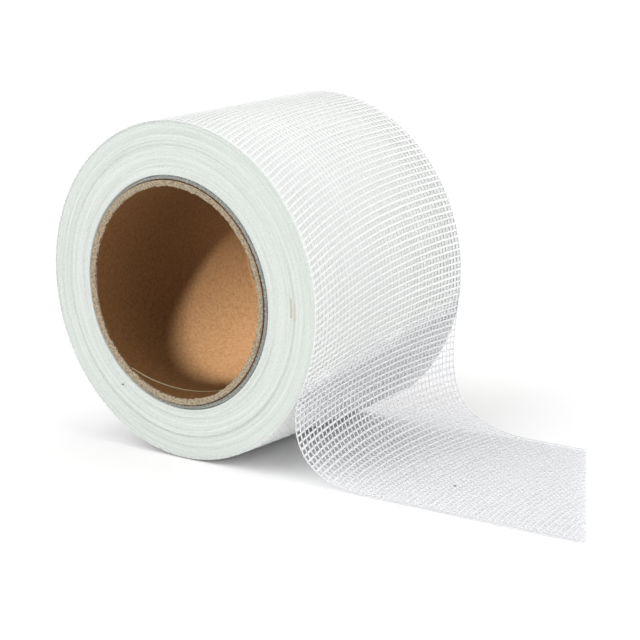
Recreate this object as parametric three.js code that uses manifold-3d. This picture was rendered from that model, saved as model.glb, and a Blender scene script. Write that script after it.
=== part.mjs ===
// Roll of glass-fibre mesh tape for drywall joints, wound on a cardboard core. It lies on its side with its
// free end laid out on the floor. Millimetres, +Z up. The roll's axis runs along Y, its front face is at -Y
// and the free end points to +X. The origin is on the floor, under the middle of the whole outline.

import * as THREE from 'three';
import { mergeVertices } from 'three/addons/utils/BufferGeometryUtils.js';
import Module from 'manifold-3d';

// Winding
const rollDiameter = 121;
const tapeWidth = 85.5;
const tapeThickness = 0.45;

// Core: the winding is thicker on the side of the free end, so the core sits off the roll's axis
const coreBoreDiameter = 76;
const coreWall = 2.2;
const coreClearance = 0.3;
const coreOffsetX = -2.8;
const coreOffsetZ = -1;

// First wraps, which sit loose of the main winding
const looseWraps = 1.4;
const looseGapWidth = 0.5;
const looseGapDepth = 1.2;

// Shallow steps between the turns on each end face
const turnGrooves = 3;
const turnGrooveWidth = 0.7;
const turnGrooveDepth = 0.35;

// Free end, at the front edge and at the back edge. Angles are degrees below the level of the axis.
// Handles are the reach of the curve's tangents. Landing and reach are measured from the roll's side.
const frontLeaveAngle = 27.5;
const backLeaveAngle = 10.3;
const frontHangHandle = 12;
const backHangHandle = 31;
const frontFloorHandle = 30;
const backFloorHandle = 40;
const frontLanding = 17;
const backLanding = 32;
const frontReach = 105.5;
const backReach = 52.5;

// Plain grid of openings in the free end, coarser than the real mesh of yarns
const gridOpening = 7;
const gridBar = 3.2;
const gridStart = 12;
const gridCutReach = 1.5;

// Weld of the free end into the winding
const weldAngle = 4;
const weldDepth = 0.1;

// Fineness
const roundSteps = 96;
const hangSteps = 18;
const crossSteps = 4;

const rollRadius = rollDiameter / 2;
const coreBoreRadius = coreBoreDiameter / 2;
const coreOuterRadius = coreBoreRadius + coreWall;
const windingBoreRadius = coreOuterRadius + coreClearance;
const rollAxisX = -frontReach / 2;
const rollAxisZ = rollRadius;

const wasm = await Module();
wasm.setup();

function toSolid(geometry) {
  const bare = geometry.clone();
  bare.deleteAttribute('normal');
  bare.deleteAttribute('uv');
  const merged = mergeVertices(bare);
  const mesh = new wasm.Mesh({
    numProp: 3,
    vertProperties: new Float32Array(merged.attributes.position.array),
    triVerts: new Uint32Array(merged.index.array),
  });
  return new wasm.Manifold(mesh);
}

function toGeometry(solid) {
  const mesh = solid.getMesh();
  const geometry = new THREE.BufferGeometry();
  geometry.setAttribute('position', new THREE.BufferAttribute(new Float32Array(mesh.vertProperties), 3));
  geometry.setIndex(new THREE.BufferAttribute(new Uint32Array(mesh.triVerts), 1));
  geometry.computeVertexNormals();
  return geometry;
}

// The flats of the turned shapes, not their corners, lie at the stated radii
function turned(profile) {
  const closed = [...profile, profile[0]];
  const corner = 1 / Math.cos(Math.PI / roundSteps);
  const points = closed.map(([radius, y]) => new THREE.Vector2(radius * corner, y));
  return new THREE.LatheGeometry(points, roundSteps, Math.PI / roundSteps);
}

// Moves each ring of the turned winding sideways: none at the outside, the core's whole offset at the bore
function offCentre(geometry) {
  const position = geometry.attributes.position;
  const corner = 1 / Math.cos(Math.PI / roundSteps);
  for (let i = 0; i < position.count; i += 1) {
    const radius = Math.hypot(position.getX(i), position.getZ(i)) / corner;
    const share = (rollRadius - radius) / (rollRadius - windingBoreRadius);
    position.setX(i, position.getX(i) + share * coreOffsetX);
    position.setZ(i, position.getZ(i) + share * coreOffsetZ);
  }
  return geometry;
}

// Grooves of one end face, from the bore outwards, as [radius, depth] points
function faceGrooves() {
  const gapStart = windingBoreRadius + looseWraps;
  const gapEnd = gapStart + looseGapWidth;
  const points = [[gapStart, 0], [gapStart, looseGapDepth], [gapEnd, looseGapDepth], [gapEnd, 0]];
  const spacing = (rollRadius - gapEnd) / (turnGrooves + 1);
  for (let i = 1; i <= turnGrooves; i += 1) {
    const middle = gapEnd + i * spacing;
    points.push([middle - turnGrooveWidth / 2, 0], [middle, turnGrooveDepth], [middle + turnGrooveWidth / 2, 0]);
  }
  return points;
}

function winding() {
  const half = tapeWidth / 2;
  const grooves = faceGrooves();
  const front = grooves.map(([radius, depth]) => [radius, -half + depth]);
  const back = grooves.map(([radius, depth]) => [radius, half - depth]).reverse();
  const profile = [
    [windingBoreRadius, -half], ...front, [rollRadius, -half],
    [rollRadius, half], ...back, [windingBoreRadius, half],
  ];
  return offCentre(turned(profile)).translate(rollAxisX, 0, rollAxisZ);
}

function between(front, back, across) {
  return THREE.MathUtils.lerp(front, back, across);
}

// Place on the outermost turn at an angle below the level of the axis, and the way down along it
function onWinding(angle) {
  const radius = rollRadius - weldDepth - tapeThickness / 2;
  return {
    point: new THREE.Vector2(rollAxisX + radius * Math.cos(angle), rollAxisZ - radius * Math.sin(angle)),
    tangent: new THREE.Vector2(-Math.sin(angle), -Math.cos(angle)),
  };
}

// Middle of the free end's thickness at one place across the width, 0 at the front edge and 1 at the back:
// down through the air from the winding, and out along the floor
function freeEndCurves(across) {
  const leave = onWinding(THREE.MathUtils.degToRad(between(frontLeaveAngle, backLeaveAngle, across)));
  const rollSide = rollAxisX + rollRadius;
  const landing = new THREE.Vector2(rollSide + between(frontLanding, backLanding, across), tapeThickness / 2);
  const end = new THREE.Vector2(rollSide + between(frontReach, backReach, across), tapeThickness / 2);
  const hang = new THREE.CubicBezierCurve(
    leave.point,
    leave.point.clone().addScaledVector(leave.tangent, between(frontHangHandle, backHangHandle, across)),
    landing.clone().setX(landing.x - between(frontFloorHandle, backFloorHandle, across)),
    landing,
  );
  return { hang, floor: new THREE.LineCurve(landing, end) };
}

// Points of the free end with their tangents, from inside the winding to the cut
function freeEndPath(across) {
  const weld = between(frontLeaveAngle, backLeaveAngle, across) - weldAngle;
  const { hang, floor } = freeEndCurves(across);
  const path = [onWinding(THREE.MathUtils.degToRad(weld))];
  for (let i = 0; i <= hangSteps; i += 1) {
    path.push({ point: hang.getPoint(i / hangSteps), tangent: hang.getTangent(i / hangSteps) });
  }
  path.push({ point: floor.getPoint(1), tangent: new THREE.Vector2(1, 0) });
  return path;
}

function freeEnd() {
  const rows = [];
  for (let j = 0; j <= crossSteps; j += 1) {
    rows.push(freeEndPath(j / crossSteps));
  }
  const stations = rows[0].length;
  const positions = [];
  for (const side of [1, -1]) {
    rows.forEach((row, j) => {
      const y = tapeWidth * (j / crossSteps - 0.5);
      for (const { point, tangent } of row) {
        const lift = side * tapeThickness / 2;
        positions.push(point.x - tangent.y * lift, y, point.y + tangent.x * lift);
      }
    });
  }
  const vertex = (side, j, i) => (side * rows.length + j) * stations + i;
  const indices = [];
  const quad = (a, b, c, d) => indices.push(a, b, c, a, c, d);
  for (let j = 0; j < crossSteps; j += 1) {
    for (let i = 0; i < stations - 1; i += 1) {
      quad(vertex(0, j, i), vertex(0, j, i + 1), vertex(0, j + 1, i + 1), vertex(0, j + 1, i));
      quad(vertex(1, j, i), vertex(1, j + 1, i), vertex(1, j + 1, i + 1), vertex(1, j, i + 1));
    }
    quad(vertex(0, j, 0), vertex(0, j + 1, 0), vertex(1, j + 1, 0), vertex(1, j, 0));
    const last = stations - 1;
    quad(vertex(0, j, last), vertex(1, j, last), vertex(1, j + 1, last), vertex(0, j + 1, last));
  }
  for (let i = 0; i < stations - 1; i += 1) {
    quad(vertex(0, 0, i), vertex(1, 0, i), vertex(1, 0, i + 1), vertex(0, 0, i + 1));
    quad(vertex(0, crossSteps, i), vertex(0, crossSteps, i + 1),
      vertex(1, crossSteps, i + 1), vertex(1, crossSteps, i));
  }
  const geometry = new THREE.BufferGeometry();
  geometry.setAttribute('position', new THREE.Float32BufferAttribute(positions, 3));
  geometry.setIndex(indices);
  return geometry;
}

// One straight-sided cutter that follows the free end's surface, from a length along it and a place across
function gridCutter(alongStart, yStart) {
  const cutter = new THREE.BoxGeometry(1, 1, 1);
  const position = cutter.attributes.position;
  for (let i = 0; i < position.count; i += 1) {
    const along = alongStart + (position.getX(i) + 0.5) * gridOpening;
    const y = yStart + (position.getY(i) + 0.5) * gridOpening;
    const { hang, floor } = freeEndCurves(y / tapeWidth + 0.5);
    const onFloor = along > hang.getLength();
    const curve = onFloor ? floor : hang;
    const share = onFloor ? (along - hang.getLength()) / floor.getLength() : along / hang.getLength();
    const point = curve.getPointAt(share);
    const tangent = curve.getTangentAt(share);
    const lift = position.getZ(i) * 2 * gridCutReach;
    position.setXYZ(i, point.x - tangent.y * lift, y, point.y + tangent.x * lift);
  }
  return cutter;
}

// Rows of openings in each column, as far as the oblique cut leaves a bar beside the last one
function gridCutters() {
  const pitch = gridOpening + gridBar;
  const columns = Math.floor((tapeWidth - gridBar) / pitch);
  const border = (tapeWidth - columns * pitch + gridBar) / 2;
  const cutters = [];
  for (let column = 0; column < columns; column += 1) {
    const yStart = border + column * pitch - tapeWidth / 2;
    const lengths = [yStart, yStart + gridOpening].map((y) => {
      const { hang, floor } = freeEndCurves(y / tapeWidth + 0.5);
      return hang.getLength() + floor.getLength();
    });
    const furthest = Math.min(...lengths) - pitch;
    for (let along = gridStart; along <= furthest; along += pitch) {
      cutters.push(gridCutter(along, yStart));
    }
  }
  return cutters;
}

// One strip: the winding with its bore, and the free end that leaves it
function meshTape() {
  let sheet = toSolid(freeEnd());
  for (const cutter of gridCutters()) {
    sheet = sheet.subtract(toSolid(cutter));
  }
  const strip = toSolid(winding()).add(sheet);
  const material = new THREE.MeshStandardMaterial({ color: 0xeef1ec, roughness: 0.75, metalness: 0 });
  const mesh = new THREE.Mesh(toGeometry(strip), material);
  mesh.name = 'mesh_tape';
  return mesh;
}

function coreTube() {
  const half = tapeWidth / 2;
  const profile = [
    [coreBoreRadius, -half], [coreOuterRadius, -half], [coreOuterRadius, half], [coreBoreRadius, half],
  ];
  const material = new THREE.MeshStandardMaterial({ color: 0xa3784e, roughness: 0.9, metalness: 0 });
  const mesh = new THREE.Mesh(toGeometry(toSolid(turned(profile))), material);
  mesh.name = 'core_tube';
  mesh.position.set(rollAxisX + coreOffsetX, 0, rollAxisZ + coreOffsetZ);
  return mesh;
}

const roll = new THREE.Group();
roll.add(coreTube(), meshTape());

export default roll;
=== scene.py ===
# The looks of a roll of glass-fibre mesh tape on its cardboard core, with its free end laid on the floor.
# Metres, +Z up. The roll's axis runs along Y, its front face is at -Y and the free end points to +X.

import math

import bpy
import numpy as np
from mathutils import Matrix, Vector


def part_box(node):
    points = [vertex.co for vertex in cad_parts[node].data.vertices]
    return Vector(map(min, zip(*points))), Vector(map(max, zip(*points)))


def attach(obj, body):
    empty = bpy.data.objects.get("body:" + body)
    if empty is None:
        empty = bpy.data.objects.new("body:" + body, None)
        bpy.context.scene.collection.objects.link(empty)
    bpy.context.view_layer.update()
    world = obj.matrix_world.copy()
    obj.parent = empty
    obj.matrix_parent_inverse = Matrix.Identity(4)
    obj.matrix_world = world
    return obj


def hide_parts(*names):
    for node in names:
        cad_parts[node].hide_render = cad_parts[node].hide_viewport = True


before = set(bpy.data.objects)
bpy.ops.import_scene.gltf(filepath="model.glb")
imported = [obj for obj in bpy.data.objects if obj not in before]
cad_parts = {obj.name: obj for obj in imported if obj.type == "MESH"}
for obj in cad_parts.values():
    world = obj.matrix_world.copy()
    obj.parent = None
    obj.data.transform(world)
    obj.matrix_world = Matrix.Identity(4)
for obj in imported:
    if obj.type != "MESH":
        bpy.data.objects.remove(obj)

MM = 0.001
FULL_TURN = 2 * math.pi
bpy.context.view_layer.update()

# Places read from the frame
tape_low, tape_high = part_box("mesh_tape")
core_low, core_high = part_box("core_tube")
ROLL_RADIUS = tape_high.z / 2
ROLL_X = tape_low.x + ROLL_RADIUS
ROLL_Z = ROLL_RADIUS
TURN_LENGTH = FULL_TURN * ROLL_RADIUS
WIDTH = tape_high.y - tape_low.y
FRONT = tape_low.y
BACK = tape_high.y
CORE_X = (core_low.x + core_high.x) / 2
CORE_Z = (core_low.z + core_high.z) / 2
CORE_OUTER = (core_high.x - core_low.x) / 2

# The roll's ends, each with the way along Y that leads inward from it
ENDS = ((FRONT, 1), (BACK, -1))

# Wall of the core, as in the part's source
CORE_WALL = 2.2 * MM
CORE_INNER = CORE_OUTER - CORE_WALL

# Free end, at the front edge and at the back edge, as in the part's source. The mesh is springy, so its
# flat run rests a little above the floor
TAPE_THICKNESS = 0.45 * MM
LEAVE_ANGLE = (27.5, 10.3)
HANG_HANDLE = (12 * MM, 31 * MM)
FLOOR_HANDLE = (30 * MM, 40 * MM)
LANDING = (17 * MM, 32 * MM)
REACH = (105.5 * MM, 52.5 * MM)
TAPE_REST = 0.9 * MM

# How finely the strip's surface is worked out
PATH_TURN_POINTS = 900
PATH_HANG_POINTS = 160
PATH_RUN_POINTS = 160
SPARE_TURNS = 0.2
SPARE_RUN = 30 * MM
STRIP_PATHS = 35
STRIP_STEP = 0.5 * MM
TABLE_EDGE = 0.001

# Mesh: warp yarns run along the tape, weft yarns across it, bowed at the front edge
WARP_PITCH = 2.02 * MM
WEFT_PITCH = 2.35 * MM
WARP_WIDTH = 0.62 * MM
WARP_THICKNESS = 0.24 * MM
WEFT_WIDTH = 0.84 * MM
WEFT_THICKNESS = 0.28 * MM
CRIMP = 0.08 * MM
FREE_END_CRIMP = 0.7 * CRIMP
WARP_SINK = 0.04 * MM
EDGE_MARGIN = 0.32 * MM
WARP_COUNT = int((WIDTH - 2 * EDGE_MARGIN) / WARP_PITCH) + 1
WARP_MARGIN = (WIDTH - (WARP_COUNT - 1) * WARP_PITCH) / 2
WEFT_OVERHANG = 0.2
WEFT_BOW = 13.3 * MM
WEFT_BOW_POWER = 2.4

# How uneven the yarns are: shares of their width, and play sideways
WARP_WIDTH_SHARES = (0.9, 1.1)
WEFT_WIDTH_SHARES = (0.85, 1.12)
WARP_WANDER = 0.05 * MM
WEFT_WANDER = 0.06 * MM
WEFT_PLAY = 0.07 * MM
LONG_WAVE = 23 * MM
SHORT_WAVE = 9 * MM
SHORT_WAVE_SHARE = 0.6
SHORT_WAVE_PHASE = 2.3

# How finely yarns are drawn: the share of a mesh opening from point to point, and the sides of a section
FINE_STEP, FINE_SIDES = 0.5, 6
COARSE_STEP, COARSE_SIDES = 1.0, 4

# Turns that are drawn as yarns, from the outside. The warps of each lie beside those of the turn above it,
# by a share of an opening
DRAWN_TURNS = 2
TURN_SPACING = 0.12 * MM
TURN_SHIFT = 0.4

# Turned body below the drawn turns, with the turns' edges as rings on its ends
BODY_DEPTH = 0.24 * MM
BODY_STEPS = 360
END_RINGS = 64
END_INSET = 0.25 * MM
RING_PLAY = 0.09 * MM
RING_WAVE = 0.04 * MM
RING_PROUD_LIMIT = 0.2 * MM

# First wraps round the core, which are loose: the band that they take up in the ends of the winding is
# wide at one side, and a thin dark gap closes it outside
WRAP_COUNT = 3
WRAP_SPACING = 0.34 * MM
WRAP_PITCH = 1.9 * MM
WRAP_STEPS = 180
WRAP_WARPS = 2
WRAP_WARP_DEPTH = 0.9 * MM
WRAP_WEFT_DEPTHS = (0.4 * MM, 0.85 * MM)
WRAP_SHOWN = 3 * MM
WRAP_WAVE = 0.05 * MM
WRAP_PLAY = 0.12
WRAP_ANGLE_PLAY = 0.004
WRAP_WEFT_THICKNESS = 1.2 * WEFT_THICKNESS
BAND_WIDTHS = (0.3 * MM, 2.15 * MM)
BAND_WIDE_AT = math.radians(5)
BAND_WIDE_POWER = 0.4
BAND_DEPTH = 1.8 * MM
BAND_LIP = 0.07 * MM
BAND_LEAST = 0.02 * MM
GAP_WIDTH = 0.3 * MM
GAP_DEPTH = 5 * MM
GAP_LIP = 0.03 * MM
GAP_EDGE = 0.02 * MM
CORE_CLEARANCE = 0.05 * MM

# Core: faint waves in its bore, torn and rough ends, and a dent of the back edge away from the free end
CORE_STEPS = 420
BORE_ROWS = 40
BORE_WAVES = 4
BORE_WAVE = 0.05 * MM
BORE_INSET = 0.5 * MM
RIM_SHARES = (0.02, 0.18, 0.38, 0.6, 0.82, 1.0)
RIM_INWARD = 0.12 * MM
RIM_ROUND = 0.12 * MM
RIM_INSET = 0.1 * MM
RIM_TURN_IN = 0.25 * MM
RIM_ROUGH = 0.09 * MM
RIM_FINE_TEAR = 0.16 * MM
RIM_LONG_TEAR = 0.12 * MM
RIM_LENGTH = 1.2 * MM
RIM_OUTER_STEP = 0.02 * MM
RIM_INNER_STEP = 0.06 * MM
DENT = 1.2 * MM
DENT_ANGLE = math.radians(35)
DENT_LENGTH = 6 * MM
DENT_SKIN = 0.1 * MM

# The core's spiral seam, which runs less than once round the bore in its length
SEAM_START = math.radians(-127)
SEAM_RISE = 100.8 * MM
SEAM_OFFSET = 1.5 * MM
SEAM_STOP = 1 * MM
SEAM_WIDTH = 0.9 * MM
SEAM_THICKNESS = 0.16 * MM
SEAM_POINTS = 300

# Scales of the papers' grain, of which a higher one is finer
PAPER_GRAIN = 4500.0
RIM_GRAIN = 8000.0

# Marks: tan fibres in the front face, by radius and by first and last angle in degrees, and specks, by place
TAN_FIBRES = ((49.7 * MM, -3.5, 4.1), (51.35 * MM, -4.5, 2.5))
FIBRE_WIDTH = 0.24 * MM
FIBRE_THICKNESS = 0.3 * MM
FIBRE_DEPTH = 0.12 * MM
FIBRE_POINTS = 14
DARK_SPECKS = ((-81.9 * MM, FRONT + 0.1 * MM, 22.8 * MM), (47.0 * MM, -18.9 * MM, 1.2 * MM))
SPECK_LENGTH = 0.7 * MM
SPECK_WIDTH = 0.45 * MM
SPECK_THICKNESS = 0.4 * MM
SPECK_POINTS = 5

# Camera of the photograph, fitted to the roll's circles and to the free end's edges. Its place is in radii
# of the roll, from below the middle of the front face, its angles are in degrees, and its lens and sensor
# are in Blender's millimetres
CAMERA_PLACE = (8.76911, -9.74013, 3.90617)
CAMERA_YAW = 38.470
CAMERA_PITCH = 13.296
CAMERA_TILT = -1.2873
CAMERA_LENS = 130.66
CAMERA_SENSOR = 36
CAMERA_FAR = 20

# Lights. Each sun has its azimuth, elevation and spread in degrees, and its brightness
SKY = 0.42
SUN_DISTANCE = 2
SUNS = {"overhead": (140, 75, 50, 0.27), "front_left": (-40, 48, 65, 0.51), "right": (92, 8, 70, 0.64)}
SPOT_AZIMUTH, SPOT_ELEVATION = 158, 49
SPOT_DISTANCE = 0.6
SPOT_POWER = 92.0
SPOT_COLOUR = (0.84, 0.92, 1.0)
SPOT_ANGLE = math.radians(10)
SPOT_BLEND = 0.3
SPOT_SIZE = 0.06
FLOOR_SIZE = 12
FLOOR_Z = -0.2 * MM
FLOOR_COLOUR = (0.95, 0.95, 0.95)

# Random waves round rings: how many are added up, and the whole numbers of ripples in each
WAVES_ADDED = 40
TURN_RIPPLES = (1, 7)
WRAP_RIPPLES = (3, 12)
BORE_RIPPLES = (2, 12)
LONG_TEAR_RIPPLES = (6, 40)
FINE_TEAR_RIPPLES = (40, 200)

RANDOM_SEED = 7
rng = np.random.default_rng(RANDOM_SEED)


def between(pair, across):
    """A value between the one at the front edge and the one at the back edge."""
    return pair[0] + (pair[1] - pair[0]) * across


def around(angle):
    """Unit vectors away from the roll's axis, at angles round it."""
    return np.stack([np.cos(angle), np.zeros_like(angle), np.sin(angle)], -1)


def bow(y):
    """How far a weft yarn lies towards the free end at y, against its place at the back edge."""
    return WEFT_BOW * np.maximum(1 - (y - FRONT) / WIDTH, 0) ** WEFT_BOW_POWER


def hang_curve(start, handle_a, handle_b, landing):
    """The hanging stretch of the free end, as one cubic curve without its first point."""
    t = np.linspace(0, 1, PATH_HANG_POINTS)[1:, None]
    first_half = (1 - t) ** 3 * start + 3 * (1 - t) ** 2 * t * handle_a
    return first_half + 3 * (1 - t) * t * t * handle_b + t ** 3 * landing


def strip_path(across):
    """The strip's middle surface at one place across the width, 0 at the front edge and 1 at the back.

    Gives its points in x and z from inside the winding to the far end of the floor run, and the lengths
    along it, which are 0 where the outermost turn passes the level of the axis. The lengths at the cut and
    at the place where the tape leaves the winding come last."""
    leave = math.radians(between(LEAVE_ANGLE, across))
    radius = ROLL_RADIUS - TAPE_THICKNESS / 2
    angle = np.linspace(leave - FULL_TURN * (DRAWN_TURNS + SPARE_TURNS), leave, PATH_TURN_POINTS)
    shrunk = radius - TURN_SPACING * (leave - angle) / FULL_TURN
    turns = np.stack([ROLL_X + shrunk * np.cos(angle), ROLL_Z - shrunk * np.sin(angle)], 1)

    down = np.array([-math.sin(leave), -math.cos(leave)])
    side = ROLL_X + ROLL_RADIUS
    landing = np.array([side + between(LANDING, across), TAPE_REST])
    handle_a = turns[-1] + down * between(HANG_HANDLE, across)
    handle_b = landing - np.array([between(FLOOR_HANDLE, across), 0])
    hang = hang_curve(turns[-1], handle_a, handle_b, landing)
    run = np.linspace(landing[0], side + max(REACH) + SPARE_RUN, PATH_RUN_POINTS)[1:]
    floor_run = np.stack([run, np.full_like(run, TAPE_REST)], 1)

    points = np.vstack([turns, hang, floor_run])
    along = np.concatenate([[0], np.cumsum(np.hypot(*np.diff(points, axis=0).T))])
    along -= along[len(turns) - 1] - leave * radius
    cut = side + between(REACH, across)
    cut_along = float(np.interp(cut, run, along[-len(run):]))
    return points, along, cut_along, leave * radius


class Strip:
    """The strip's middle surface as a table over length and width, with its outward normals."""

    def __init__(self):
        self.across = np.linspace(0, 1, STRIP_PATHS)
        paths = [strip_path(across) for across in self.across]
        start = max(along[0] for _, along, _, _ in paths)
        end = min(along[-1] for _, along, _, _ in paths)
        self.along = np.arange(start, end, STRIP_STEP)
        self.cut = np.array([cut_along for _, _, cut_along, _ in paths])
        self.leave = np.array([leave_along for _, _, _, leave_along in paths])
        self.x = np.stack([np.interp(self.along, along, points[:, 0]) for points, along, _, _ in paths])
        self.z = np.stack([np.interp(self.along, along, points[:, 1]) for points, along, _, _ in paths])
        slope_x = np.gradient(self.x, axis=1)
        slope_z = np.gradient(self.z, axis=1)
        size = np.hypot(slope_x, slope_z)
        self.normal_x = -slope_z / size
        self.normal_z = slope_x / size

    def cut_at(self, y):
        """The length along the strip at which it is cut off at y."""
        return np.interp((y - FRONT) / WIDTH, self.across, self.cut)

    def leave_at(self, y):
        """The length along the strip at which it leaves the winding at y."""
        return np.interp((y - FRONT) / WIDTH, self.across, self.leave)

    def look_up(self, table, s, y):
        """A table's value at length s and width y, between its four nearest entries."""
        lengths = len(self.along)
        widths = len(self.across)
        i = np.clip((s - self.along[0]) / STRIP_STEP, 0, lengths - 1 - TABLE_EDGE)
        j = np.clip((y - FRONT) / WIDTH * (widths - 1), 0, widths - 1 - TABLE_EDGE)
        i0 = i.astype(int)
        j0 = j.astype(int)
        low = table[j0, i0] * (1 - i + i0) + table[j0, i0 + 1] * (i - i0)
        high = table[j0 + 1, i0] * (1 - i + i0) + table[j0 + 1, i0 + 1] * (i - i0)
        return low * (1 - j + j0) + high * (j - j0)

    def place(self, s, y, lift):
        """Points and outward normals at length s, width y and height lift over the middle surface."""
        nothing = np.zeros_like(s)
        normal = np.stack([self.look_up(self.normal_x, s, y), nothing, self.look_up(self.normal_z, s, y)], 1)
        normal /= np.linalg.norm(normal, axis=1, keepdims=True)
        point = np.stack([self.look_up(self.x, s, y), y, self.look_up(self.z, s, y)], 1)
        return point + normal * lift[:, None], normal


def link_mesh(name, points, faces, material):
    """A smooth-shaded mesh object in the scene."""
    mesh = bpy.data.meshes.new(name)
    mesh.from_pydata(points.tolist(), [], faces)
    mesh.polygons.foreach_set("use_smooth", [True] * len(mesh.polygons))
    mesh.materials.append(material)
    mesh.update()
    piece = bpy.data.objects.new(name, mesh)
    bpy.context.scene.collection.objects.link(piece)
    return piece


class Yarns:
    """Gathers closed yarns, to make one object of them."""

    def __init__(self):
        self.points = []
        self.faces = []
        self.strands = []
        self.count = 0

    def add(self, points, normals, width, thickness, sides, strand):
        """A closed yarn of elliptical section along points. Its UV is the length and the turn round it."""
        n = len(points)
        direction = np.gradient(points, axis=0)
        direction /= np.linalg.norm(direction, axis=1, keepdims=True)
        side = np.cross(normals, direction)
        side /= np.linalg.norm(side, axis=1, keepdims=True)
        up = np.cross(direction, side)
        turn = np.arange(sides) / sides * FULL_TURN
        ring = (side[:, None] * np.cos(turn)[None, :, None] * width / 2
                + up[:, None] * np.sin(turn)[None, :, None] * thickness / 2)
        self.points.append((points[:, None] + ring).reshape(-1, 3))

        i, k = np.meshgrid(np.arange(n - 1), np.arange(sides), indexing="ij")
        following = (k + 1) % sides
        base = self.count
        quads = np.stack([base + i * sides + k, base + i * sides + following,
                          base + (i + 1) * sides + following, base + (i + 1) * sides + k], -1)
        self.faces.extend(quads.reshape(-1, 4).tolist())
        self.faces.append([base + k for k in reversed(range(sides))])
        self.faces.append([base + (n - 1) * sides + k for k in range(sides)])

        length = np.concatenate([[0], np.cumsum(np.linalg.norm(np.diff(points, axis=0), axis=1))])
        share = np.tile(np.arange(sides) / sides, n) + strand
        self.strands.append(np.stack([np.repeat(length / MM, sides), share], 1))
        self.count += n * sides

    def make(self, name, material):
        """The object of all the yarns, with their UV map."""
        piece = link_mesh(name, np.concatenate(self.points), self.faces, material)
        mesh = piece.data
        layer = mesh.uv_layers.new(name="strand")
        uv = np.concatenate(self.strands)
        corner = np.zeros(len(mesh.loops), np.int32)
        mesh.loops.foreach_get("vertex_index", corner)
        layer.data.foreach_set("uv", uv[corner].astype(np.float32).ravel())
        return piece


def wander(s, size, phase):
    """A slow sideways wander of a yarn, along its length s."""
    long_wave = np.sin(s / LONG_WAVE + phase)
    short_wave = np.sin(s / SHORT_WAVE + SHORT_WAVE_PHASE * phase)
    return size * (long_wave + SHORT_WAVE_SHARE * short_wave)


def add_warps(yarns, strip, start_of, end_of, step, sides, crimp, shift=0.0):
    """Warp yarns between two lengths, each given as a function of y. The shift is a share of an opening."""
    for k in range(WARP_COUNT - math.ceil(shift)):
        y = FRONT + WARP_MARGIN + (k + shift) * WARP_PITCH
        phase = rng.uniform(0, FULL_TURN)
        width = WARP_WIDTH * rng.uniform(*WARP_WIDTH_SHARES)
        start = start_of(y)
        end = end_of(y)
        first = math.ceil((start - bow(y)) / (WEFT_PITCH * step))
        last = math.floor((end - bow(y)) / (WEFT_PITCH * step))
        if last - first < 1:
            continue
        s = np.arange(first, last + 1) * step * WEFT_PITCH + bow(y)
        s = np.concatenate([[start], s[(s > start) & (s < end)], [end]])
        crossing = (s - bow(y)) / WEFT_PITCH
        lift = crimp * np.cos(math.pi * (crossing + k)) - WARP_SINK
        points, normals = strip.place(s, y + wander(s, WARP_WANDER, phase), lift)
        yarns.add(points, normals, width, WARP_THICKNESS, sides, k)


def add_wefts(yarns, strip, start_of, end_of, step, sides, crimp):
    """Weft yarns between two lengths, each given as a function of y."""
    inner_places = np.arange(round((WARP_COUNT - 1) / step) + 1) * step
    end_places = [-WEFT_OVERHANG, WARP_COUNT - 1 + WEFT_OVERHANG]
    crossing = np.unique(np.concatenate([inner_places, end_places]))
    y = FRONT + WARP_MARGIN + crossing * WARP_PITCH
    low = min(start_of(FRONT), start_of(BACK)) - WEFT_BOW
    high = max(end_of(FRONT), end_of(BACK))
    for m in range(math.ceil(low / WEFT_PITCH), math.floor(high / WEFT_PITCH) + 1):
        play = rng.normal(0, WEFT_PLAY)
        width = WEFT_WIDTH * rng.uniform(*WEFT_WIDTH_SHARES)
        phase = rng.uniform(0, FULL_TURN)
        s = m * WEFT_PITCH + bow(y) + play + wander(y - FRONT, WEFT_WANDER, phase)
        keep = (s >= start_of(y)) & (s <= end_of(y))
        if keep.sum() < 2:
            continue
        lift = -crimp * np.cos(math.pi * (crossing + m))
        points, normals = strip.place(s[keep], y[keep], lift[keep])
        yarns.add(points, normals, width, WEFT_THICKNESS, sides, m)


def new_material(name, roughness):
    """A material with its node tree and its surface node."""
    material = bpy.data.materials.new(name)
    material.use_nodes = True
    surface = material.node_tree.nodes["Principled BSDF"]
    surface.inputs["Roughness"].default_value = roughness
    return material, material.node_tree, surface


def add_noise(tree, vector, scale, detail, roughness=0.5):
    """A noise texture's value at a vector."""
    noise = tree.nodes.new("ShaderNodeTexNoise")
    noise.inputs["Scale"].default_value = scale
    noise.inputs["Detail"].default_value = detail
    noise.inputs["Roughness"].default_value = roughness
    tree.links.new(vector, noise.inputs["Vector"])
    return noise.outputs["Fac"]


def add_maths(tree, operation, *values):
    """A maths node's result. Each value is a number or an output socket."""
    maths = tree.nodes.new("ShaderNodeMath")
    maths.operation = operation
    for socket, value in zip(maths.inputs, values):
        if isinstance(value, bpy.types.NodeSocket):
            tree.links.new(value, socket)
        else:
            socket.default_value = value
    return maths.outputs[0]


def colour_surface(tree, surface, value, low, dark, high, light):
    """Colours the surface from dark at the value low to light at the value high."""
    ramp = tree.nodes.new("ShaderNodeValToRGB")
    first, last = ramp.color_ramp.elements
    first.position = low
    first.color = (*dark, 1)
    last.position = high
    last.color = (*light, 1)
    tree.links.new(value, ramp.inputs["Fac"])
    tree.links.new(ramp.outputs["Color"], surface.inputs["Base Color"])


def roughen_surface(tree, surface, height, strength, depth):
    """Gives the surface a relief of a depth in metres."""
    bump = tree.nodes.new("ShaderNodeBump")
    bump.inputs["Strength"].default_value = strength
    bump.inputs["Distance"].default_value = depth
    tree.links.new(height, bump.inputs["Height"])
    tree.links.new(bump.outputs["Normal"], surface.inputs["Normal"])


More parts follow.
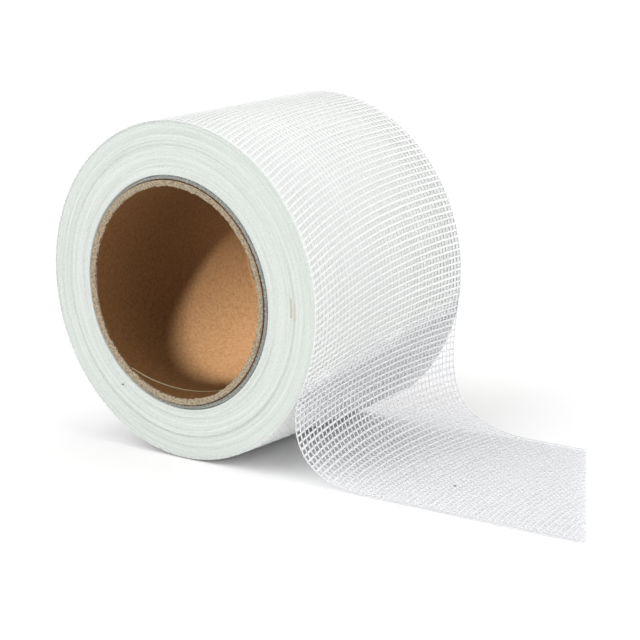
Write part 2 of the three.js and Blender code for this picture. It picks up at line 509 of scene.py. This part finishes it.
def yarn_material(name, dark, light):
    """White glass filaments with faint streaks along each yarn. Some light passes into them."""
    material, tree, surface = new_material(name, roughness=0.65)
    uv = tree.nodes.new("ShaderNodeUVMap")
    uv.uv_map = "strand"
    stretch = tree.nodes.new("ShaderNodeMapping")
    stretch.inputs["Scale"].default_value = (0.35, 9.0, 1.0)
    tree.links.new(uv.outputs["UV"], stretch.inputs["Vector"])
    streaks = add_noise(tree, stretch.outputs["Vector"], scale=2.0, detail=3.0)
    colour_surface(tree, surface, streaks, low=0.3, dark=dark, high=0.7, light=light)
    roughen_surface(tree, surface, streaks, strength=0.3, depth=0.05 * MM)
    surface.inputs["Specular IOR Level"].default_value = 0.3
    surface.inputs["Subsurface Weight"].default_value = 0.5
    surface.inputs["Subsurface Radius"].default_value = (1, 1, 1)
    surface.inputs["Subsurface Scale"].default_value = 0.4 * MM
    return material


def under_turns_material():
    """The turns below the drawn ones, as a soft white weave with painted light and shade: its colour gets
    lighter towards the top of the winding by height alone and darker lower down, and its dark end stands
    in for the shade in the openings of the drawn turns."""
    material, tree, surface = new_material("winding_under_turns_painted_shading", roughness=0.7)
    weave_share = 0.25
    place = tree.nodes.new("ShaderNodeTexCoord")
    weave = add_noise(tree, place.outputs["Object"], scale=1400.0, detail=2.0)
    split = tree.nodes.new("ShaderNodeSeparateXYZ")
    # Painted light and shade: the colour gets lighter with height above the axis
    height = tree.nodes.new("ShaderNodeMapRange")
    near_axis = 0.1 * ROLL_RADIUS
    near_top = 0.9 * ROLL_RADIUS
    height.inputs["From Min"].default_value = ROLL_Z + near_axis
    height.inputs["From Max"].default_value = ROLL_Z + near_top
    height.inputs["To Max"].default_value = 1 - weave_share
    tree.links.new(place.outputs["Object"], split.inputs["Vector"])
    tree.links.new(split.outputs["Z"], height.inputs["Value"])
    tone = add_maths(tree, "MULTIPLY_ADD", weave, weave_share, height.outputs["Result"])
    colour_surface(tree, surface, tone, low=0.08, dark=(0.79, 0.80, 0.785),
                   high=0.85, light=(0.97, 0.97, 0.965))
    roughen_surface(tree, surface, weave, strength=0.4, depth=0.1 * MM)
    return material


def winding_ends_material():
    """White tape edges: rings round the roll's axis, with the grain of cut filaments."""
    material, tree, surface = new_material("winding_ends", roughness=0.55)
    place = tree.nodes.new("ShaderNodeTexCoord")
    centred = tree.nodes.new("ShaderNodeVectorMath")
    centred.operation = "SUBTRACT"
    centred.inputs[1].default_value = (ROLL_X, 0, ROLL_Z)
    split = tree.nodes.new("ShaderNodeSeparateXYZ")
    flat = tree.nodes.new("ShaderNodeCombineXYZ")
    radius = tree.nodes.new("ShaderNodeVectorMath")
    radius.operation = "LENGTH"
    rings = tree.nodes.new("ShaderNodeCombineXYZ")
    tree.links.new(place.outputs["Object"], centred.inputs[0])
    tree.links.new(centred.outputs["Vector"], split.inputs["Vector"])
    tree.links.new(split.outputs["X"], flat.inputs["X"])
    tree.links.new(split.outputs["Z"], flat.inputs["Z"])
    tree.links.new(flat.outputs["Vector"], radius.inputs[0])
    tree.links.new(radius.outputs["Value"], rings.inputs["X"])
    angle = add_maths(tree, "ARCTAN2", split.outputs["Z"], split.outputs["X"])
    drift = 0.6 * MM
    tree.links.new(add_maths(tree, "MULTIPLY", angle, drift), rings.inputs["Y"])
    turns = add_noise(tree, rings.outputs["Vector"], scale=1100.0, detail=3.0, roughness=0.75)
    grain = add_noise(tree, place.outputs["Object"], scale=2400.0, detail=1.0)
    mean = add_maths(tree, "MULTIPLY", add_maths(tree, "ADD", turns, grain), 0.5)
    colour_surface(tree, surface, mean, low=0.36, dark=(0.62, 0.66, 0.62),
                   high=0.58, light=(0.78, 0.82, 0.785))
    roughen_surface(tree, surface, mean, strength=0.5, depth=0.12 * MM)
    return material


def paper_material(name, dark, light, scale):
    """Kraft paper: cloudy pulp with short fibres."""
    material, tree, surface = new_material(name, roughness=0.85)
    place = tree.nodes.new("ShaderNodeTexCoord")
    clouds = add_noise(tree, place.outputs["Object"], scale=0.2 * scale, detail=6.0)
    grain = add_noise(tree, place.outputs["Object"], scale=4 * scale, detail=2.0)
    contrast = 0.9
    tone = add_maths(tree, "MULTIPLY", add_maths(tree, "ADD", clouds, grain), contrast)
    colour_surface(tree, surface, tone, low=0.75, dark=dark, high=1.0, light=light)
    roughen_surface(tree, surface, grain, strength=0.4, depth=0.1 * MM)
    surface.inputs["Specular IOR Level"].default_value = 0.08
    return material


def closed_surface(name, points, material):
    """A surface over a grid of points. Its first index runs round, its second along."""
    n, m = points.shape[:2]
    i, j = np.meshgrid(np.arange(n), np.arange(m - 1), indexing="ij")
    following = (i + 1) % n
    quads = np.stack([i * m + j, following * m + j, following * m + j + 1, i * m + j + 1], -1)
    return link_mesh(name, points.reshape(-1, 3), quads.reshape(-1, 4).tolist(), material)


def ring_noise(theta, ripple_range, size):
    """A random wave round a ring, which closes on itself."""
    total = np.zeros_like(theta)
    for ripples in rng.integers(*ripple_range, WAVES_ADDED):
        total += np.sin(ripples * theta + rng.uniform(0, FULL_TURN))
    return total * size / math.sqrt(WAVES_ADDED)


def band_width(theta):
    """Width of the band of loose first wraps, round the core."""
    share = ((1 + np.cos(theta - BAND_WIDE_AT)) / 2) ** BAND_WIDE_POWER
    return BAND_WIDTHS[0] + (BAND_WIDTHS[1] - BAND_WIDTHS[0]) * share


def turned_face(theta):
    """The rings of one end of the winding, round the roll's axis outside and round the core's inside.

    Gives their points at y = 0, and how far each point lies behind the end."""
    inner = CORE_OUTER + band_width(theta)
    outer = ROLL_RADIUS - TAPE_THICKNESS / 2 - BODY_DEPTH
    proud = rng.normal(0, RING_PLAY, END_RINGS)
    face = np.zeros((len(theta), END_RINGS, 3))
    depth = np.zeros((len(theta), END_RINGS))
    for k in range(END_RINGS):
        radius = inner + (outer - inner) * k / (END_RINGS - 1)
        share = (ROLL_RADIUS - radius) / (ROLL_RADIUS - CORE_OUTER)
        face[:, k, 0] = ROLL_X + share * (CORE_X - ROLL_X) + radius * np.cos(theta)
        face[:, k, 2] = ROLL_Z + share * (CORE_Z - ROLL_Z) + radius * np.sin(theta)
        depth[:, k] = proud[k] + ring_noise(theta, TURN_RIPPLES, RING_WAVE)
    return face, END_INSET + np.maximum(depth, -RING_PROUD_LIMIT)


def band_profile(theta):
    """Radius and depth of the rings that form the band of loose wraps and the gap outside it."""
    first = CORE_OUTER + CORE_CLEARANCE
    gap_outer = CORE_OUTER + band_width(theta)
    wrap_start = first + BAND_LIP
    wrap_end = np.maximum(wrap_start + BAND_LEAST, gap_outer - GAP_WIDTH)
    return ((first, GAP_DEPTH), (wrap_start, BAND_DEPTH), (wrap_end, BAND_DEPTH),
            (wrap_end + GAP_LIP, GAP_DEPTH), (gap_outer - GAP_EDGE, GAP_DEPTH))


def winding_body(ends_material, outside_material):
    """The turned body under the drawn turns, with the turns' edges on its ends."""
    theta = np.arange(BODY_STEPS) / BODY_STEPS * FULL_TURN
    face, depth = turned_face(theta)
    band = band_profile(theta)
    ends = []
    for y, inward in ENDS:
        rings = face.copy()
        rings[..., 1] = y + inward * depth
        slot = np.zeros((BODY_STEPS, len(band), 3))
        for k, (radius, deep) in enumerate(band):
            slot[:, k, 0] = CORE_X + radius * np.cos(theta)
            slot[:, k, 2] = CORE_Z + radius * np.sin(theta)
            slot[:, k, 1] = y + inward * deep
        ends.append(np.concatenate([slot, rings], 1))
    front, back = ends
    loop = np.concatenate([front, back[:, ::-1], front[:, :1]], 1)
    body = closed_surface("winding_body", loop, ends_material)
    body.data.materials.append(outside_material)
    material_index = np.zeros((BODY_STEPS, loop.shape[1] - 1), np.int32)
    outside_row = front.shape[1] - 1
    material_index[:, outside_row] = 1
    body.data.polygons.foreach_set("material_index", material_index.ravel())
    return body


def loose_wraps(material):
    """The ends of the first wraps, in the band that is theirs."""
    yarns = Yarns()
    theta = np.linspace(0, FULL_TURN, WRAP_STEPS + 1)
    out = around(theta)
    wide = band_width(theta) / BAND_WIDTHS[1]
    middle = (band_width(theta) - GAP_WIDTH) / 2
    count = int(FULL_TURN * CORE_OUTER / WRAP_PITCH)
    for y, inward in ENDS:
        turns = (np.arange(count) + rng.uniform(-WRAP_PLAY, WRAP_PLAY, count)) / count * FULL_TURN
        for wrap in range(WRAP_COUNT):
            radius = CORE_OUTER + middle + (wrap - (WRAP_COUNT - 1) / 2) * WRAP_SPACING * wide
            radius = radius + ring_noise(theta, WRAP_RIPPLES, WRAP_WAVE) * wide
            for k in range(WRAP_WARPS):
                centre = np.array([CORE_X, y + inward * (WRAP_WARP_DEPTH + k * WARP_PITCH), CORE_Z])
                yarns.add(centre + out * radius[:, None], out, WARP_WIDTH, WARP_THICKNESS, FINE_SIDES, k)
            angles = turns + rng.uniform(-WRAP_ANGLE_PLAY, WRAP_ANGLE_PLAY, count)
            for m, angle in enumerate(angles):
                away = around(angle)
                points = np.array([[CORE_X, y, CORE_Z]] * 2)
                points += away * np.interp(angle % FULL_TURN, theta, radius)
                points[:, 1] += inward * np.array([rng.uniform(*WRAP_WEFT_DEPTHS), WRAP_SHOWN])
                yarns.add(points, np.array([away] * 2), WEFT_WIDTH, WRAP_WEFT_THICKNESS, FINE_SIDES, m)
    return yarns.make("loose_wraps", material)


def core_ring(theta, radius, y):
    """One ring of the core. The back end is pressed in a little at one side, but not its outside."""
    near_back = math.exp(-np.mean(BACK - y) / DENT_LENGTH)
    pressed = DENT * np.exp(-((theta - math.pi) / DENT_ANGLE) ** 2) * near_back
    radius = np.where(radius < CORE_OUTER - DENT_SKIN, radius - pressed, radius)
    ring = np.zeros((len(theta), 3))
    ring[:, 0] = CORE_X + radius * np.cos(theta)
    ring[:, 1] = y
    ring[:, 2] = CORE_Z + radius * np.sin(theta)
    return ring


def core_bore(material):
    """The paper tube between its ends, with faint waves in its bore."""
    theta = np.arange(CORE_STEPS) / CORE_STEPS * FULL_TURN
    waves = [ring_noise(theta, BORE_RIPPLES, BORE_WAVE) for _ in range(BORE_WAVES)]
    first = FRONT + BORE_INSET
    last = BACK - BORE_INSET
    rows = []
    for k, y in enumerate(np.linspace(first, last, BORE_ROWS)):
        place = k / (BORE_ROWS - 1) * (BORE_WAVES - 1)
        low = min(int(place), BORE_WAVES - 2)
        wave = waves[low] * (1 - place + low) + waves[low + 1] * (place - low)
        rows.append(core_ring(theta, CORE_INNER + wave, y))
    for y in (last, first):
        rows.append(core_ring(theta, np.full(CORE_STEPS, CORE_OUTER), y))
    rows.append(rows[0].copy())
    return closed_surface("core_bore", np.stack(rows, 1)[:, ::-1], material)


def core_end(name, y, inward, material):
    """A sawn end of the tube, as a thin ring with a torn inner edge and a rough face."""
    theta = np.arange(CORE_STEPS) / CORE_STEPS * FULL_TURN
    torn = ring_noise(theta, FINE_TEAR_RIPPLES, RIM_FINE_TEAR)
    torn += ring_noise(theta, LONG_TEAR_RIPPLES, RIM_LONG_TEAR)
    rows = []
    for share in RIM_SHARES:
        radius = CORE_INNER - RIM_INWARD + share * CORE_WALL + torn * (1 - share)
        rough = np.maximum(ring_noise(theta, FINE_TEAR_RIPPLES, RIM_ROUGH), -RIM_INSET)
        deep = RIM_ROUND * (1 - share) + RIM_INSET + rough
        rows.append(core_ring(theta, np.minimum(radius, CORE_OUTER), y + inward * deep))
    rows[0][:, 1] += inward * RIM_TURN_IN
    for radius in (CORE_OUTER + RIM_OUTER_STEP, CORE_INNER - RIM_INNER_STEP):
        rows.append(core_ring(theta, np.full(CORE_STEPS, radius), y + inward * RIM_LENGTH))
    rows.append(rows[0].copy())
    loop = np.stack(rows, 1)
    return closed_surface(name, loop if inward < 0 else loop[:, ::-1], material)


def core_seam(material):
    """The narrow joint of the innermost paper ply, a helix along the bore."""
    turns = np.linspace(0, (WIDTH - SEAM_OFFSET - SEAM_STOP) / SEAM_RISE, SEAM_POINTS)
    out = around(SEAM_START + turns * FULL_TURN)
    points = np.array([CORE_X, FRONT + SEAM_OFFSET, CORE_Z]) + out * CORE_INNER
    points[:, 1] += turns * SEAM_RISE
    yarns = Yarns()
    yarns.add(points, -out, SEAM_WIDTH, SEAM_THICKNESS, FINE_SIDES, 0)
    return yarns.make("core_seam", material)


def tan_fibres(material):
    """Short tan fibres between the turns of the front face."""
    yarns = Yarns()
    for radius, first, last in TAN_FIBRES:
        out = around(np.radians(np.linspace(first, last, FIBRE_POINTS)))
        points = np.array([ROLL_X, FRONT + FIBRE_DEPTH, ROLL_Z]) + out * radius
        yarns.add(points, out, FIBRE_WIDTH, FIBRE_THICKNESS, FINE_SIDES, 0)
    return yarns.make("tan_fibres", material)


def dark_specks(material):
    """Two specks, one on the front face and one on the free end."""
    yarns = Yarns()
    for place in DARK_SPECKS:
        points = np.array([place] * SPECK_POINTS)
        points[:, 0] += np.linspace(-SPECK_LENGTH / 2, SPECK_LENGTH / 2, SPECK_POINTS)
        up = np.array([[0, 0, 1]] * SPECK_POINTS)
        yarns.add(points, up, SPECK_WIDTH, SPECK_THICKNESS, FINE_SIDES, 0)
    return yarns.make("dark_specks", material)


def drawn_turn(strip, turn, material):
    """The warps and the wefts of one outer turn. The outermost is drawn with more points."""
    def start_of(y):
        return strip.leave_at(y) - (turn + 1) * TURN_LENGTH

    def end_of(y):
        return strip.leave_at(y) - turn * TURN_LENGTH

    step, sides = (FINE_STEP, FINE_SIDES) if turn == 0 else (COARSE_STEP, COARSE_SIDES)
    warps = Yarns()
    add_warps(warps, strip, start_of, end_of, step, sides, CRIMP, TURN_SHIFT * turn)
    wefts = Yarns()
    add_wefts(wefts, strip, start_of, end_of, step, sides, CRIMP)
    return [warps.make(f"turn_{turn + 1}_warps", material), wefts.make(f"turn_{turn + 1}_wefts", material)]


def free_end_mesh(strip, material):
    """The yarns of the free end, from where it leaves the winding to its cut."""
    yarns = Yarns()
    add_warps(yarns, strip, strip.leave_at, strip.cut_at, FINE_STEP, FINE_SIDES, FREE_END_CRIMP)
    add_wefts(yarns, strip, strip.leave_at, strip.cut_at, FINE_STEP, FINE_SIDES, FREE_END_CRIMP)
    return yarns.make("free_end_mesh", material)


def make_camera():
    """The camera of the photograph."""
    place = Vector(CAMERA_PLACE) * ROLL_RADIUS + Vector((ROLL_X, FRONT, 0))
    yaw = math.radians(CAMERA_YAW)
    pitch = math.radians(CAMERA_PITCH)
    tilt = math.radians(CAMERA_TILT)
    look = Vector((-math.sin(yaw) * math.cos(pitch), math.cos(yaw) * math.cos(pitch), -math.sin(pitch)))
    level = Vector((math.cos(yaw), math.sin(yaw), 0))
    upright = level.cross(look)
    right = level * math.cos(tilt) + upright * math.sin(tilt)
    up = -level * math.sin(tilt) + upright * math.cos(tilt)
    turn = Matrix((right, up, -look)).transposed().to_4x4()
    data = bpy.data.cameras.new("photo_camera")
    data.lens = CAMERA_LENS
    data.sensor_width = CAMERA_SENSOR
    data.clip_end = CAMERA_FAR
    camera = bpy.data.objects.new("photo_camera", data)
    camera.matrix_world = Matrix.Translation(place) @ turn
    bpy.context.scene.collection.objects.link(camera)
    bpy.context.scene.camera = camera


def direction(azimuth, elevation):
    """The way to a place seen from the roll. Azimuth 0 is in front of the front face and 90 is at +X."""
    azimuth = math.radians(azimuth)
    elevation = math.radians(elevation)
    level = math.cos(elevation)
    return Vector((math.sin(azimuth) * level, -math.cos(azimuth) * level, math.sin(elevation)))


def add_light(name, kind, place, away, **settings):
    """A light at a place, which shines against the way away."""
    data = bpy.data.lights.new(name, kind)
    for key, value in settings.items():
        setattr(data, key, value)
    light = bpy.data.objects.new(name, data)
    light.location = place
    light.rotation_mode = "QUATERNION"
    light.rotation_quaternion = away.to_track_quat("Z", "Y")
    bpy.context.scene.collection.objects.link(light)
    return light


def make_studio():
    """An even sky, soft suns and a plain pale floor. A white surface facing a sun gets its brightness."""
    world = bpy.data.worlds.new("studio")
    bpy.context.scene.world = world
    world.use_nodes = True
    sky = world.node_tree.nodes["Background"]
    sky.inputs["Color"].default_value = (1, 1, 1, 1)
    sky.inputs["Strength"].default_value = SKY
    for name, (azimuth, elevation, spread, brightness) in SUNS.items():
        away = direction(azimuth, elevation)
        add_light(name, "SUN", away * SUN_DISTANCE, away, energy=brightness * math.pi,
                  angle=math.radians(spread))
    material, _, surface = new_material("floor", roughness=0.9)
    surface.inputs["Base Color"].default_value = (*FLOOR_COLOUR, 1)
    surface.inputs["Specular IOR Level"].default_value = 0.0
    bpy.ops.mesh.primitive_plane_add(size=FLOOR_SIZE, location=(0, 0, FLOOR_Z))
    floor = bpy.context.object
    floor.name = "floor"
    floor.data.materials.append(material)
    bpy.context.scene.view_settings.view_transform = "Standard"


def light_bore(lit):
    """A spot that shines into the back of the bore, and on nothing but the given pieces."""
    back = Vector((CORE_X, BACK, CORE_Z))
    away = direction(SPOT_AZIMUTH, SPOT_ELEVATION)
    spot = add_light("bore_spot", "SPOT", back + away * SPOT_DISTANCE, away, energy=SPOT_POWER,
                     color=SPOT_COLOUR, spot_size=SPOT_ANGLE, spot_blend=SPOT_BLEND,
                     shadow_soft_size=SPOT_SIZE)
    receivers = bpy.data.collections.new("bore_spot_receivers")
    for piece in lit:
        receivers.objects.link(piece)
    spot.light_linking.receiver_collection = receivers


make_camera()
make_studio()

# The tape
yarn = yarn_material("glass_yarn", (0.83, 0.845, 0.83), (0.90, 0.91, 0.90))
# The loose wraps get a darker copy of the glass yarn: painted shade of the recessed band round the core
shaded_wrap_yarn = yarn_material("glass_yarn_painted_shade", (0.34, 0.34, 0.31), (0.56, 0.56, 0.52))
# The free end's yarns are greyer and bluer than the winding's: painted shade, for the roll's shade that the
# free end lies in
shaded_free_yarn = yarn_material("glass_yarn_single_painted_shade", (0.74, 0.745, 0.77), (0.80, 0.805, 0.83))
tan_paper = paper_material("tan_fibre", (0.66, 0.60, 0.48), (0.76, 0.71, 0.60), PAPER_GRAIN)
dark_grit = paper_material("dark_speck", (0.10, 0.09, 0.08), (0.25, 0.22, 0.2), PAPER_GRAIN)
strip = Strip()
pieces = []
for turn in range(DRAWN_TURNS):
    pieces.extend(drawn_turn(strip, turn, yarn))
free_end = free_end_mesh(strip, shaded_free_yarn)
pieces.append(free_end)
pieces.append(winding_body(winding_ends_material(), under_turns_material()))
pieces.append(loose_wraps(shaded_wrap_yarn))
pieces.append(tan_fibres(tan_paper))
pieces.append(dark_specks(dark_grit))

# The core
kraft = paper_material("core_kraft", (0.16, 0.073, 0.025), (0.22, 0.109, 0.043), PAPER_GRAIN)
joint = paper_material("core_joint", (0.42, 0.36, 0.22), (0.50, 0.44, 0.28), PAPER_GRAIN)
rim = paper_material("core_rim", (0.17, 0.13, 0.085), (0.56, 0.46, 0.33), RIM_GRAIN)
core_pieces = [core_bore(kraft), core_seam(joint)]
light_bore(core_pieces)
core_pieces.append(core_end("core_front_end", FRONT, 1, rim))
core_pieces.append(core_end("core_back_end", BACK, -1, rim))

for piece in pieces:
    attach(piece, "root")
    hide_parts("mesh_tape")
for piece in core_pieces:
    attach(piece, "root")
    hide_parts("core_tube")
